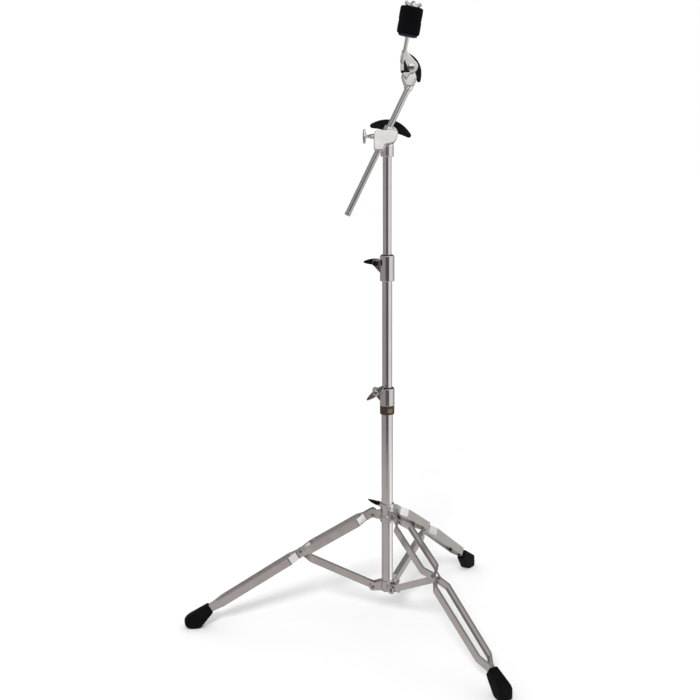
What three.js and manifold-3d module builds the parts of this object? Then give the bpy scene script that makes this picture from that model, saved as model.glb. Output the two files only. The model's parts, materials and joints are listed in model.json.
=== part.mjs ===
// Boom cymbal stand: folding double-braced tripod, two telescoping clamps, boom arm and cymbal tilter.
// Millimetres, +Z up. The stand is drawn around its main tube and then moved so that its origin is at
// the middle of its footprint, on the floor.
import * as THREE from "three";
import { mergeVertices } from "three/addons/utils/BufferGeometryUtils.js";
import Module from "manifold-3d";

const wasm = await Module();
wasm.setup();

// ---------------------------------------------------------------- driving dimensions

const GAP = 0.35; // running clearance between neighbouring pieces
const ROUND = 24; // sides of the tubes
const SMALL_ROUND = 12; // sides of pins, bolts and holes

const tube = {
  wall: 1.2,
  base: { radius: 12.7, bottom: 91, top: 532 },
  middle: { radius: 11.1, bottom: 392, top: 824 },
  upper: { radius: 9.525, bottom: 632, top: 1070 },
};

const hub = { bottom: 86, top: 110, radius: 15.6 };
const legCollar = { bottom: 246, top: 290, radius: 16.2 };
const baseClamp = { bottom: 494, labelTop: 513, top: 552.6, radius: 16.5, ear: 546 };
const middleClamp = { bottom: 789.5, top: 845.6, radius: 16, ear: 829 };

const LEG_AZIMUTHS = [180, 300, 60];
const LEG_NAMES = ["left", "front", "back"];

// Fold linkage, as radius and height in the plane of a leg. The strut and the upper part of the leg are
// equally long between their pins, and both hubs carry their pins at one radius, so the collar runs
// true on the tube at every angle.
const PIN_RADIUS_FROM_AXIS = 32.5;
const hubPin = new THREE.Vector2(PIN_RADIUS_FROM_AXIS, 95.5);
const collarPin = new THREE.Vector2(PIN_RADIUS_FROM_AXIS, 264);
const jointPin = new THREE.Vector2(195, (hubPin.y + collarPin.y) / 2);

const pin = { radius: 2.3, hole: 2.65, headRadius: 4.4, headHeight: 1.8 };

const legTop = new THREE.Vector2(PIN_RADIUS_FROM_AXIS, 269); // middle of the strip at its upper end
const legKnee = new THREE.Vector2(195, 175.3); // middle of the strip beside the joint pin
const legFoot = new THREE.Vector2(401, 45.5); // where the strips enter the rubber foot
const strip = { height: 18, depth: 4.5, wall: 1.8, pinch: 7.2, pinchReach: 8, footPinch: 5.2, inFoot: 30 };
const upperBay = { start: 20, splay: 17, halfWidth: 20.5 };
const lowerBay = { splay: 20, topHalfWidth: 17.9, bottomHalfWidth: 16.4, lift: 8.5, taper: 25 };

const strut = { height: 15, halfWidth: 6.5, wall: 1.8, tongue: 2.4, taperStart: 27, taperEnd: 14 };
const strutHubEnd = new THREE.Vector2(PIN_RADIUS_FROM_AXIS, 98);
const strutKneeEnd = new THREE.Vector2(195, 172.8);

const lug = { half: 2.4, radius: 8, pairInner: 7, pairThickness: 3.6, pairRadius: 8.6 };

const boom = { lean: 25.98, radius: 6.35, plane: -26, below: 194, above: 116 };
const boomPivot = new THREE.Vector3(6, 0, 1104);
const boomDrum = { radius: 17, half: 9 };
const ROD_BESIDE_PIVOT = 7.9; // from the tilt axis to the middle of the boom rod
const receiver = { bottom: 1056, top: 1083, radius: 14.3 };
const washer = { radius: 15.5, thickness: 1.6, teeth: 18 };
const tiltBolt = { radius: 3.9, headRadius: 6.4, headHeight: 3.4 };
const key = { height: 1099, face: -29 };

const cymbalPivot = new THREE.Vector3(49, 0, 1242);
const cymbalDrum = { radius: 14, front: -44.5, parting: -35.5, back: -17 };
const stem = { lean: 10.3, radius: 4, plane: -40, top: 124, bottom: 8.5 };
const stemFoot = new THREE.Vector3(31.6, stem.plane, 1252);
const felt = { radius: 24, hole: 6.5, height: 27.6, edge: 4 };
const seat = { bottom: 51.2, height: 4.2, radius: 20 };
const sleeve = { inner: 4.3, outer: 5.2 };

// ---------------------------------------------------------------- materials

const finish = {
  chrome: { color: 0xc9c6c4, roughness: 0.12, metalness: 1 },
  castChrome: { color: 0xb9b5b3, roughness: 0.2, metalness: 1 },
  steel: { color: 0x9a9695, roughness: 0.3, metalness: 1 },
  blackMetal: { color: 0x17171a, roughness: 0.3, metalness: 0.6 },
  rubber: { color: 0x101010, roughness: 0.85, metalness: 0 },
  felt: { color: 0x0d0d10, roughness: 1, metalness: 0 },
  nylon: { color: 0x1c1b1d, roughness: 0.5, metalness: 0 },
  label: { color: 0x2a211a, roughness: 0.4, metalness: 0 },
};

// ---------------------------------------------------------------- solid helpers

// A closed geometry becomes a solid whose faces point outwards.
function solid(geometry) {
  geometry.deleteAttribute("normal");
  geometry.deleteAttribute("uv");
  const merged = mergeVertices(geometry, 1e-4);
  const corners = Float32Array.from(merged.attributes.position.array);
  const faces = Uint32Array.from(merged.index.array);
  const [a, b, c] = [new THREE.Vector3(), new THREE.Vector3(), new THREE.Vector3()];
  let volume = 0;
  for (let i = 0; i < faces.length; i += 3) {
    a.fromArray(corners, faces[i] * 3);
    b.fromArray(corners, faces[i + 1] * 3);
    c.fromArray(corners, faces[i + 2] * 3);
    volume += a.dot(b.cross(c));
  }
  if (volume < 0) {
    for (let i = 0; i < faces.length; i += 3) {
      [faces[i], faces[i + 1]] = [faces[i + 1], faces[i]];
    }
  }
  return new wasm.Manifold(new wasm.Mesh({ numProp: 3, vertProperties: corners, triVerts: faces }));
}

const join = (first, ...others) => others.reduce((whole, other) => whole.add(other), first);
const cut = (first, ...others) => others.reduce((whole, other) => whole.subtract(other), first);
const common = (first, ...others) => others.reduce((whole, other) => whole.intersect(other), first);

function toGeometry(manifold) {
  const mesh = manifold.getMesh();
  const geometry = new THREE.BufferGeometry();
  const corners = new Float32Array(mesh.numVert * 3);
  for (let i = 0; i < mesh.numVert; i += 1) {
    for (let k = 0; k < 3; k += 1) {
      corners[i * 3 + k] = mesh.vertProperties[i * mesh.numProp + k];
    }
  }
  geometry.setAttribute("position", new THREE.BufferAttribute(corners, 3));
  geometry.setIndex(new THREE.BufferAttribute(Uint32Array.from(mesh.triVerts), 1));
  return geometry;
}

// A turned solid about the Z axis, from [radius, height] pairs.
function turned(profile, sides = ROUND) {
  const points = profile.map(([r, z]) => new THREE.Vector2(r, z));
  return solid(new THREE.LatheGeometry(points, sides).rotateX(Math.PI / 2));
}

function pipe(outer, inner, bottom, top, sides = ROUND) {
  return turned([[inner, bottom], [outer, bottom], [outer, top], [inner, top], [inner, bottom]], sides);
}

// A straight round bar between two points.
function bar(radius, from, to, sides = SMALL_ROUND) {
  const axis = new THREE.Vector3().subVectors(to, from);
  const geometry = new THREE.CylinderGeometry(radius, radius, axis.length(), sides);
  const upright = new THREE.Vector3(0, 1, 0);
  geometry.applyQuaternion(new THREE.Quaternion().setFromUnitVectors(upright, axis.normalize()));
  const middle = new THREE.Vector3().addVectors(from, to).multiplyScalar(0.5);
  return solid(geometry.translate(middle.x, middle.y, middle.z));
}

// A round bar on the main tube's axis.
function upright(radius, bottom, top) {
  return bar(radius, new THREE.Vector3(0, 0, bottom), new THREE.Vector3(0, 0, top), ROUND);
}

// A bar along Y, across the plane in which the linkage and the boom are drawn.
function crossBar(radius, x, z, front, back, sides = SMALL_ROUND) {
  return bar(radius, new THREE.Vector3(x, front, z), new THREE.Vector3(x, back, z), sides);
}

function block(width, depth, height, x, y, z) {
  return solid(new THREE.BoxGeometry(width, depth, height).translate(x, y, z));
}

// An outline drawn in X and Z, given a thickness along Y.
function uprightPlate(outline, front, back, curveSegments = 6) {
  const options = { depth: back - front, bevelEnabled: false, curveSegments };
  const geometry = new THREE.ExtrudeGeometry(outline, options);
  return solid(geometry.rotateX(Math.PI / 2).translate(0, back, 0));
}

// Moves a solid drawn along X (with Z as its height) to a line of the leg plane.
function laidAlong(geometry, start, end) {
  const along = new THREE.Vector3(end.x - start.x, 0, end.y - start.y).normalize();
  const height = new THREE.Vector3(-along.z, 0, along.x);
  const side = new THREE.Vector3().crossVectors(height, along);
  const frame = new THREE.Matrix4().makeBasis(along, side, height);
  return geometry.applyMatrix4(frame).translate(start.x, 0, start.y);
}

// Where a point of the leg plane lies on such a line: its distance along it and its height over it.
function onLine(point, start, end) {
  const along = end.clone().sub(start).normalize();
  const offset = point.clone().sub(start);
  return new THREE.Vector2(offset.dot(along), offset.dot(new THREE.Vector2(-along.y, along.x)));
}

// Replaces each inner corner of a line by a short curve.
function softened(points, reach, steps = 2) {
  const result = [points[0]];
  for (let i = 1; i < points.length - 1; i += 1) {
    const corner = points[i];
    const before = corner.clone().add(points[i - 1].clone().sub(corner).setLength(reach));
    const after = corner.clone().add(points[i + 1].clone().sub(corner).setLength(reach));
    result.push(...new THREE.QuadraticBezierCurve(before, corner, after).getPoints(steps));
  }
  result.push(points[points.length - 1]);
  return result;
}

// The same line, moved sideways by a distance that stays constant round its bends.
function offsetLine(points, distance) {
  return points.map((point, i) => {
    const before = points[Math.max(i - 1, 0)];
    const after = points[Math.min(i + 1, points.length - 1)];
    const first = point.clone().sub(before);
    const second = after.clone().sub(point);
    const normals = [first, second].filter((v) => v.lengthSq() > 0);
    const sum = new THREE.Vector2();
    normals.forEach((v) => sum.add(new THREE.Vector2(-v.y, v.x).normalize()));
    const unit = sum.normalize();
    const edge = normals[0].normalize();
    const stretch = unit.dot(new THREE.Vector2(-edge.y, edge.x));
    return point.clone().add(unit.multiplyScalar(distance / stretch));
  });
}

const stand = new THREE.Group();

function place(manifold, name, look, parent = stand) {
  const mesh = new THREE.Mesh(toGeometry(manifold), new THREE.MeshStandardMaterial(finish[look]));
  mesh.name = name;
  parent.add(mesh);
  return mesh;
}

// ---------------------------------------------------------------- main tubes

function buildTubes() {
  const { base, middle, upper, wall } = tube;
  place(pipe(base.radius, base.radius - wall, base.bottom, base.top), "base_tube", "chrome");
  place(pipe(middle.radius, middle.radius - wall, middle.bottom, middle.top), "middle_tube", "chrome");
  place(pipe(upper.radius, upper.radius - wall, upper.bottom, upper.top), "upper_tube", "chrome");
  const flange = base.radius + 1.2;
  const plugRadius = base.radius - wall - GAP;
  const plug = turned([
    [0, hub.bottom - 2], [flange - 1.5, hub.bottom - 2], [flange, hub.bottom - 0.8],
    [flange, hub.bottom - GAP], [plugRadius, hub.bottom - GAP], [plugRadius, hub.bottom + 14],
    [0, hub.bottom + 14],
  ]);
  place(plug, "tube_end_plug", "nylon");
}

// ---------------------------------------------------------------- tripod

// Outline of a lug: a plate that grows out of a ring and ends round about its pin.
function lugOutline(pinPoint, radius, rootBottom, rootTop) {
  const root = hub.radius - 2;
  const outline = new THREE.Shape();
  outline.moveTo(root, rootBottom);
  outline.lineTo(pinPoint.x, pinPoint.y - radius);
  outline.absarc(pinPoint.x, pinPoint.y, radius, -Math.PI / 2, Math.PI / 2, false);
  outline.lineTo(root, rootTop);
  outline.closePath();
  return outline;
}

function buildHub() {
  const bore = tube.base.radius + GAP;
  let body = turned([
    [0, hub.bottom], [hub.radius - 1, hub.bottom], [hub.radius, hub.bottom + 1],
    [hub.radius, hub.top - 1], [hub.radius - 1, hub.top], [0, hub.top],
  ]);
  const outline = lugOutline(hubPin, lug.pairRadius, hub.bottom + 1.2, hub.top - 1.2);
  for (const azimuth of LEG_AZIMUTHS) {
    for (const side of [-1, 1]) {
      const inner = side * lug.pairInner;
      const outer = side * (lug.pairInner + lug.pairThickness);
      const cheek = cut(
        uprightPlate(outline, Math.min(inner, outer), Math.max(inner, outer)),
        crossBar(pin.hole, hubPin.x, hubPin.y, Math.min(inner, outer) - 1, Math.max(inner, outer) + 1),
      );
      body = join(body, cheek.rotate([0, 0, azimuth]));
    }
  }
  const plugBore = tube.base.radius - tube.wall;
  body = cut(
    body,
    upright(bore, hub.bottom + 4, hub.top + 5),
    upright(plugBore, hub.bottom - 5, hub.top),
  );
  place(body, "lower_hub", "castChrome");
}

const collarBolt = { azimuth: 120, height: 279, seat: 24, lift: 22 };

function buildLegCollar() {
  const { bottom, top, radius } = legCollar;
  const waist = radius - 1.2;
  let body = turned([
    [0, bottom], [waist, bottom], [radius, bottom + 1.2], [radius, bottom + 14], [waist, bottom + 16],
    [waist, top - 12], [radius, top - 10], [radius, top - 1.2], [waist, top], [0, top],
  ]);
  const outline = lugOutline(collarPin, lug.radius, collarPin.y - 13, collarPin.y + 11);
  for (const azimuth of LEG_AZIMUTHS) {
    const plate = cut(
      uprightPlate(outline, -lug.half, lug.half),
      crossBar(pin.hole, collarPin.x, collarPin.y, -lug.half - 1, lug.half + 1),
    );
    body = join(body, plate.rotate([0, 0, azimuth]));
  }
  const azimuth = THREE.MathUtils.degToRad(collarBolt.azimuth);
  const outwards = new THREE.Vector3(Math.cos(azimuth), Math.sin(azimuth), 0);
  const at = (distance) => outwards.clone().multiplyScalar(distance).setZ(collarBolt.height);
  body = join(body, bar(7.2, at(5), at(collarBolt.seat), SMALL_ROUND));
  body = cut(
    body,
    upright(tube.base.radius + GAP, bottom - 5, top + 5),
    bar(4.3, at(5), at(collarBolt.seat + 5)),
    crossBar(2.6, 0, collarBolt.height, -radius - 2, -radius + 2),
  );
  place(body, "leg_collar", "castChrome");

  const bolt = wingBolt({
    screw: 10.4, hubLength: 15, hubRadius: 5.6, span: 58, middle: 9, rise: 0, bow: -2, thickness: 5,
  });
  const mesh = place(bolt, "leg_collar_wing_bolt", "blackMetal");
  mesh.position.copy(at(collarBolt.seat + GAP));
  const lift = THREE.MathUtils.degToRad(collarBolt.lift);
  const sideways = new THREE.Vector3(-outwards.y, outwards.x, 0);
  const across = sideways.multiplyScalar(Math.cos(lift)).setZ(Math.sin(lift));
  const upwards = new THREE.Vector3().crossVectors(outwards, across);
  mesh.quaternion.setFromRotationMatrix(new THREE.Matrix4().makeBasis(across, upwards, outwards));
}

// A wing with its hub and screw. The screw points down -Z. The wing lies in X and Y round the hub's
// outer end, and bows towards +Y.
function wingBolt(shape) {
  const { screw, hubLength, hubRadius, screwRadius = 3.8 } = shape;
  const shaft = bar(screwRadius, new THREE.Vector3(0, 0, -screw), new THREE.Vector3(0, 0, 1));
  const barrel = turned([
    [0, 0], [hubRadius - 0.8, 0], [hubRadius, 0.8], [hubRadius, hubLength - 1],
    [hubRadius - 1, hubLength + 1.6], [0, hubLength + 1.6],
  ], SMALL_ROUND);
  return join(wing(shape), barrel, shaft);
}

function wing({ span, middle, rise, bow, hubRadius, hubLength, thickness }) {
  const half = span / 2;
  const tip = middle * 0.24;
  const low = rise - bow;
  const outline = new THREE.Shape();
  outline.moveTo(-half + tip, low - tip);
  outline.quadraticCurveTo(0, rise + bow - middle, half - tip, low - tip);
  outline.absarc(half - tip, low, tip, -Math.PI / 2, Math.PI / 4, false);
  outline.quadraticCurveTo(half * 0.5, rise + middle / 2, 0, rise + middle / 2);
  outline.quadraticCurveTo(-half * 0.5, rise + middle / 2, -half + tip * 0.293, low + tip * Math.SQRT1_2);
  outline.absarc(-half + tip, low, tip, Math.PI * 0.75, Math.PI * 1.5, false);
  const from = hubLength + 1 - thickness;
  const options = { depth: thickness, bevelEnabled: false, curveSegments: 6 };
  const blade = solid(new THREE.ExtrudeGeometry(outline, options).translate(0, 0, from));
  if (rise < middle / 2) {
    return blade;
  }
  const neckWidth = hubRadius * 1.7;
  return join(blade, block(neckWidth, rise, thickness, 0, rise / 2, from + thickness / 2));
}

function rivet(x, z, halfLength) {
  const { radius, headRadius, headHeight } = pin;
  const half = halfLength + headHeight;
  const profile = turned([
    [0, -half], [headRadius - 1.2, -half], [headRadius, -halfLength], [radius, -halfLength],
    [radius, halfLength], [headRadius, halfLength], [headRadius - 1.2, half], [0, half],
  ], SMALL_ROUND);
  return profile.rotate([90, 0, 0]).translate([x, 0, z]);
}

const LEG_LENGTH_UPPER = legTop.distanceTo(legKnee);
const LEG_LENGTH = LEG_LENGTH_UPPER + legKnee.distanceTo(legFoot);

// Outer face of a strip, seen from above: distance along the leg and distance from the leg's middle.
function stripFace() {
  const knee = LEG_LENGTH_UPPER;
  return softened([
    [-10, strip.pinch],
    [upperBay.start, strip.pinch],
    [upperBay.start + upperBay.splay, upperBay.halfWidth],
    [knee - strip.pinchReach - upperBay.splay, upperBay.halfWidth],
    [knee - strip.pinchReach, strip.pinch],
    [knee + strip.pinchReach, strip.pinch],
    [knee + strip.pinchReach + lowerBay.splay, lowerBay.topHalfWidth],
    [LEG_LENGTH - lowerBay.lift - lowerBay.taper, lowerBay.bottomHalfWidth],
    [LEG_LENGTH - lowerBay.lift, strip.footPinch],
    [LEG_LENGTH + strip.inFoot, strip.footPinch],
  ].map(([s, v]) => new THREE.Vector2(s, v)), 2.6);
}

function legStrip(side) {
  const face = stripFace();
  const band = (outer, inner, height) => {
    const outline = [...offsetLine(face, -outer), ...offsetLine(face, -inner).reverse()];
    const shape = new THREE.Shape(outline.map((p) => new THREE.Vector2(p.x, p.y * side)));
    const geometry = new THREE.ExtrudeGeometry(shape, { depth: height, bevelEnabled: false });
    return geometry.translate(0, 0, -height / 2);
  };
  let body = cut(
    solid(band(0, strip.depth, strip.height)),
    solid(band(strip.wall, strip.depth + 2, strip.height - 2 * strip.wall)),
  );
  // Round upper end.
  const radius = strip.height / 2;
  const ends = new THREE.Shape();
  ends.moveTo(LEG_LENGTH + 60, -radius - 1);
  ends.lineTo(LEG_LENGTH + 60, radius + 1);
  ends.lineTo(0, radius + 1);
  ends.lineTo(0, radius);
  ends.absarc(0, 0, radius, Math.PI / 2, Math.PI * 1.5, false);
  ends.lineTo(0, -radius - 1);
  ends.closePath();
  body = common(body, uprightPlate(ends, -60, 60));
  const upperPin = onLine(collarPin, legTop, legKnee);
  const lowerPin = onLine(jointPin, legTop, legKnee);
  body = cut(
    body,
    crossBar(pin.hole, upperPin.x, upperPin.y, -30, 30),
    crossBar(pin.hole, lowerPin.x, lowerPin.y, -30, 30),
  );
  // The lower part of the leg is slightly steeper than the upper part.
  const geometry = toGeometry(body);
  const steeper = onLine(legFoot, legTop, legKnee);
  const slope = steeper.y / (steeper.x - LEG_LENGTH_UPPER);
  const position = geometry.attributes.position;
  for (let i = 0; i < position.count; i += 1) {
    const beyond = Math.max(position.getX(i) - LEG_LENGTH_UPPER, 0);
    position.setZ(i, position.getZ(i) + beyond * slope);
  }
  return laidAlong(geometry, legTop, legKnee);
}

function legStrut() {
  const length = strutHubEnd.distanceTo(strutKneeEnd);
  const half = strut.height / 2;
  const hubHole = onLine(hubPin, strutHubEnd, strutKneeEnd);
  const kneeHole = onLine(jointPin, strutHubEnd, strutKneeEnd);
  const eye = 7.2;
  const side = new THREE.Shape();
  side.moveTo(0, -half);
  side.lineTo(length - strut.taperStart, -half);
  side.lineTo(kneeHole.x + eye * 0.45, kneeHole.y - eye * 0.9);
  side.absarc(kneeHole.x, kneeHole.y, eye, -Math.PI * 0.35, Math.PI * 0.6, false);
  side.lineTo(length - strut.taperStart, half);
  side.lineTo(0, half);
  side.absarc(0, 0, half, Math.PI / 2, Math.PI * 1.5, false);
  const width = strut.halfWidth;
  const plan = new THREE.Shape();
  plan.moveTo(-20, -width);
  plan.lineTo(length - strut.taperStart, -width);
  plan.lineTo(length - strut.taperEnd, -strut.tongue);
  plan.lineTo(length + 20, -strut.tongue);
  plan.lineTo(length + 20, strut.tongue);
  plan.lineTo(length - strut.taperEnd, strut.tongue);
  plan.lineTo(length - strut.taperStart, width);
  plan.lineTo(-20, width);
  plan.closePath();
  const planSolid = uprightPlate(plan, -30, 30).rotate([90, 0, 0]);
  const inside = 2 * (width - strut.wall);
  const channelLength = length - strut.taperStart - 4 + 20;
  const body = cut(
    common(uprightPlate(side, -width, width), planSolid),
    block(channelLength, inside, 40, channelLength / 2 - 20, 0, half - strut.wall - 20),
    block(32, inside, 40, -4, 0, 0),
    crossBar(pin.hole, hubHole.x, hubHole.y, -20, 20),
    crossBar(pin.hole, kneeHole.x, kneeHole.y, -20, 20),
  );
  return laidAlong(toGeometry(body), strutHubEnd, strutKneeEnd);
}

// Rubber boot over the strips: a sleeve that widens into a sole with a flat underside on the floor.
function legFootBoot() {
  const profile = new THREE.Shape();
  profile.moveTo(407, 55);
  profile.lineTo(395, 36.1);
  profile.quadraticCurveTo(400, 30, 418, 8);
  profile.quadraticCurveTo(423, 0, 429, 0);
  profile.lineTo(444, 0);
  profile.quadraticCurveTo(454, 0.5, 458.5, 7);
  profile.quadraticCurveTo(462.6, 12.5, 461.3, 18);
  profile.quadraticCurveTo(459, 25, 449, 29.5);
  profile.lineTo(430, 40.8);
  profile.closePath();
  const plan = new THREE.Shape();
  plan.moveTo(385, -9.6);
  plan.lineTo(410, -10.2);
  plan.quadraticCurveTo(430, -12, 446, -14);
  plan.absarc(446, 0, 14, -Math.PI / 2, Math.PI / 2, false);
  plan.quadraticCurveTo(430, 12, 410, 10.2);
  plan.lineTo(385, 9.6);
  plan.closePath();
  const planSolid = uprightPlate(plan, -80, 80, 8).rotate([90, 0, 0]);
  const slotHeight = strip.height + 4 * GAP;
  const slotWidth = 2 * (strip.footPinch + GAP);
  const reach = strip.inFoot + 4 * GAP;
  const slot = solid(laidAlong(
    new THREE.BoxGeometry(reach + 30, slotWidth, slotHeight).translate((reach - 30) / 2, 0, 0),
    legFoot,
    legFoot.clone().multiplyScalar(2).sub(legKnee),
  ));
  return cut(common(uprightPlate(profile, -20, 20, 5), planSolid), slot);
}

function buildLegs() {
  const boot = legFootBoot();
  LEG_AZIMUTHS.forEach((azimuth, i) => {
    const leg = new THREE.Group();
    leg.rotation.z = THREE.MathUtils.degToRad(azimuth);
    stand.add(leg);
    const name = LEG_NAMES[i];
    for (const [side, label] of [[1, "a"], [-1, "b"]]) {
      const mesh = new THREE.Mesh(legStrip(side), new THREE.MeshStandardMaterial(finish.steel));
      mesh.name = `${name}_leg_strip_${label}`;
      leg.add(mesh);
    }
    const brace = new THREE.Mesh(legStrut(), new THREE.MeshStandardMaterial(finish.steel));
    brace.name = `${name}_strut`;
    leg.add(brace);
    place(boot, `${name}_rubber_foot`, "rubber", leg);
    place(rivet(collarPin.x, collarPin.y, strip.pinch + GAP), `${name}_collar_rivet`, "chrome", leg);
    place(rivet(jointPin.x, jointPin.y, strip.pinch + GAP), `${name}_joint_rivet`, "chrome", leg);
    const cheeks = lug.pairInner + lug.pairThickness + GAP;
    place(rivet(hubPin.x, hubPin.y, cheeks), `${name}_hub_rivet`, "chrome", leg);
  });
}

// ---------------------------------------------------------------- tube clamps

const ear = { centre: -26, half: 7.2, radius: 6.6, slot: 1.1, gusset: 15 };

// A split collar with two ears on its left side. The bolt runs through the ears along Y.
function splitCollar({ bottom, top, radius, earHeight, bore }) {
  let body = turned([
    [0, bottom], [radius - 0.8, bottom], [radius, bottom + 0.8], [radius, top - 1.4], [radius - 1.4, top],
    [0, top],
  ]);
  const outline = new THREE.Shape();
  outline.moveTo(-8, earHeight + ear.radius + 2);
  outline.lineTo(ear.centre + 3, earHeight + ear.radius);
  outline.absarc(ear.centre, earHeight, ear.radius, Math.PI * 0.4, Math.PI * 1.15, false);
  outline.lineTo(-radius + 0.5, earHeight - ear.radius - ear.gusset);
  outline.lineTo(-8, earHeight - ear.radius - ear.gusset);
  outline.closePath();
  const ears = uprightPlate(outline, -ear.half, ear.half);
  body = common(join(body, ears), block(100, 100, top - bottom, 0, 0, (top + bottom) / 2));
  return cut(
    body,
    upright(bore, bottom - 5, top + 5),
    block(40, 2 * ear.slot, 200, -30, 0, earHeight),
    crossBar(4.3, ear.centre, earHeight, -30, 30),
  );
}

function clampBush(outer, inner, bottom, top) {
  const lip = outer + 1.6;
  const seatTop = top + GAP;
  return cut(
    turned([
      [inner, bottom], [outer, bottom], [outer, seatTop], [lip, seatTop], [lip, seatTop + 1.1],
      [inner, seatTop + 1.1], [inner, bottom],
    ]),
    block(30, 1.6, 200, -15 - 4, 0, top),
  );
}

// The wing bolt enters the ears from the front (side -1) or from the back (side 1).
function buildClamp(prefix, clamp, outerTube, innerTube, { side, angle, look }) {
  const bore = outerTube.radius + GAP;
  const collarBottom = clamp.labelTop ? clamp.labelTop + GAP : clamp.bottom;
  place(splitCollar({
    bottom: collarBottom, top: clamp.top, radius: clamp.radius, earHeight: clamp.ear, bore,
  }), `${prefix}_clamp_collar`, "castChrome");
  const bush = clampBush(outerTube.radius - 0.1, innerTube.radius + GAP, outerTube.top + GAP, clamp.top);
  place(bush, `${prefix}_clamp_bush`, "nylon");
  const bolt = wingBolt({
    screw: 2 * ear.half + 7, hubLength: 15, hubRadius: 5.8, span: 50, middle: 12, rise: 0, bow: 0,
    thickness: 5,
  });
  const mesh = place(bolt, `${prefix}_clamp_wing_bolt`, look);
  mesh.position.set(ear.centre, side * (ear.half + GAP), clamp.ear);
  const turn = THREE.MathUtils.degToRad(angle);
  const outwards = new THREE.Vector3(0, side, 0);
  const across = new THREE.Vector3(Math.cos(turn), 0, Math.sin(turn));
  const upwards = new THREE.Vector3().crossVectors(outwards, across);
  mesh.quaternion.setFromRotationMatrix(new THREE.Matrix4().makeBasis(across, upwards, outwards));
  const near = -side * (ear.half + GAP);
  const far = near - side * 6;
  const nut = cut(
    crossBar(7, ear.centre, clamp.ear, Math.min(near, far), Math.max(near, far), 6),
    crossBar(4.15, ear.centre, clamp.ear, Math.min(near, far) - 1, Math.max(near, far) + 1),
  );
  place(nut, `${prefix}_clamp_nut`, look);
}

function buildLabelBand() {
  const { bottom, labelTop, radius } = baseClamp;
  const inner = tube.base.radius + GAP;
  const outer = radius - 0.4;
  place(turned([
    [inner, bottom], [outer - 1.2, bottom], [outer, bottom + 1.2], [outer, labelTop - 0.6],
    [outer - 0.6, labelTop], [inner, labelTop], [inner, bottom],
  ]), "label_band", "label");
}

// ---------------------------------------------------------------- boom

const boomLean = THREE.MathUtils.degToRad(boom.lean);
const boomDirection = new THREE.Vector3(Math.sin(boomLean), 0, Math.cos(boomLean));
const besideBoom = new THREE.Vector3(-Math.cos(boomLean), 0, Math.sin(boomLean));
const boomCentre = boomPivot.clone().addScaledVector(besideBoom, ROD_BESIDE_PIVOT).setY(boom.plane);
const alongBoom = (distance) => boomCentre.clone().addScaledVector(boomDirection, distance);
const rodSideAt = (z) => boomCentre.x + (z - boomCentre.z) * Math.tan(boomLean);

const washerFront = -boomDrum.half - GAP - washer.thickness;
const clampBack = washerFront - GAP;

function buildBoomBase() {
  const { radius, half } = boomDrum;
  const neck = new THREE.Shape();
  neck.moveTo(-receiver.radius * 0.75, receiver.top - 3);
  neck.lineTo(receiver.radius * 0.85, receiver.top - 3);
  neck.lineTo(boomPivot.x + radius * 0.85, boomPivot.z - radius * 0.4);
  neck.lineTo(boomPivot.x - radius * 0.85, boomPivot.z - radius * 0.4);
  neck.closePath();
  const body = cut(
    join(
      turned([
        [0, receiver.bottom], [receiver.radius - 1, receiver.bottom], [receiver.radius, receiver.bottom + 1],
        [receiver.radius, receiver.top - 2], [receiver.radius - 2, receiver.top], [0, receiver.top],
      ]),
      uprightPlate(neck, -half, half),
      crossBar(radius, boomPivot.x, boomPivot.z, -half, half, ROUND),
    ),
    upright(tube.upper.radius + GAP, receiver.bottom - 5, tube.upper.top + GAP),
    crossBar(tiltBolt.radius + GAP, boomPivot.x, boomPivot.z, -half - 2, half + 2),
  );
  place(body, "boom_base", "castChrome");
}

// Washer with radial teeth round its rim.
function toothedWasher() {
  const outline = new THREE.Shape();
  for (let i = 0; i < washer.teeth * 2; i += 1) {
    const angle = (i * Math.PI) / washer.teeth;
    const radius = i % 2 === 0 ? washer.radius : washer.radius - 1;
    const corner = [radius * Math.cos(angle), radius * Math.sin(angle)];
    if (i === 0) {
      outline.moveTo(...corner);
    } else {
      outline.lineTo(...corner);
    }
  }
  outline.closePath();
  const plate = uprightPlate(outline, 0, washer.thickness);
  return cut(plate, crossBar(tiltBolt.radius + GAP, 0, 0, -1, washer.thickness + 1));
}

// Bolt along Y with its head at the front.
function tiltBoltSolid(headBack, back, headRadius, headHeight) {
  const length = back - headBack;
  const bolt = turned([
    [0, 0], [tiltBolt.radius - 0.8, 0], [tiltBolt.radius, 0.8], [tiltBolt.radius, length],
    [headRadius, length], [headRadius, length + headHeight * 0.6], [headRadius - 1, length + headHeight],
    [0, length + headHeight],
  ], SMALL_ROUND);
  return bolt.rotate([90, 0, 0]).translate([0, back, 0]);
}

const keyAxis = (x) => new THREE.Vector3(x, boom.plane, key.height);

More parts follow.
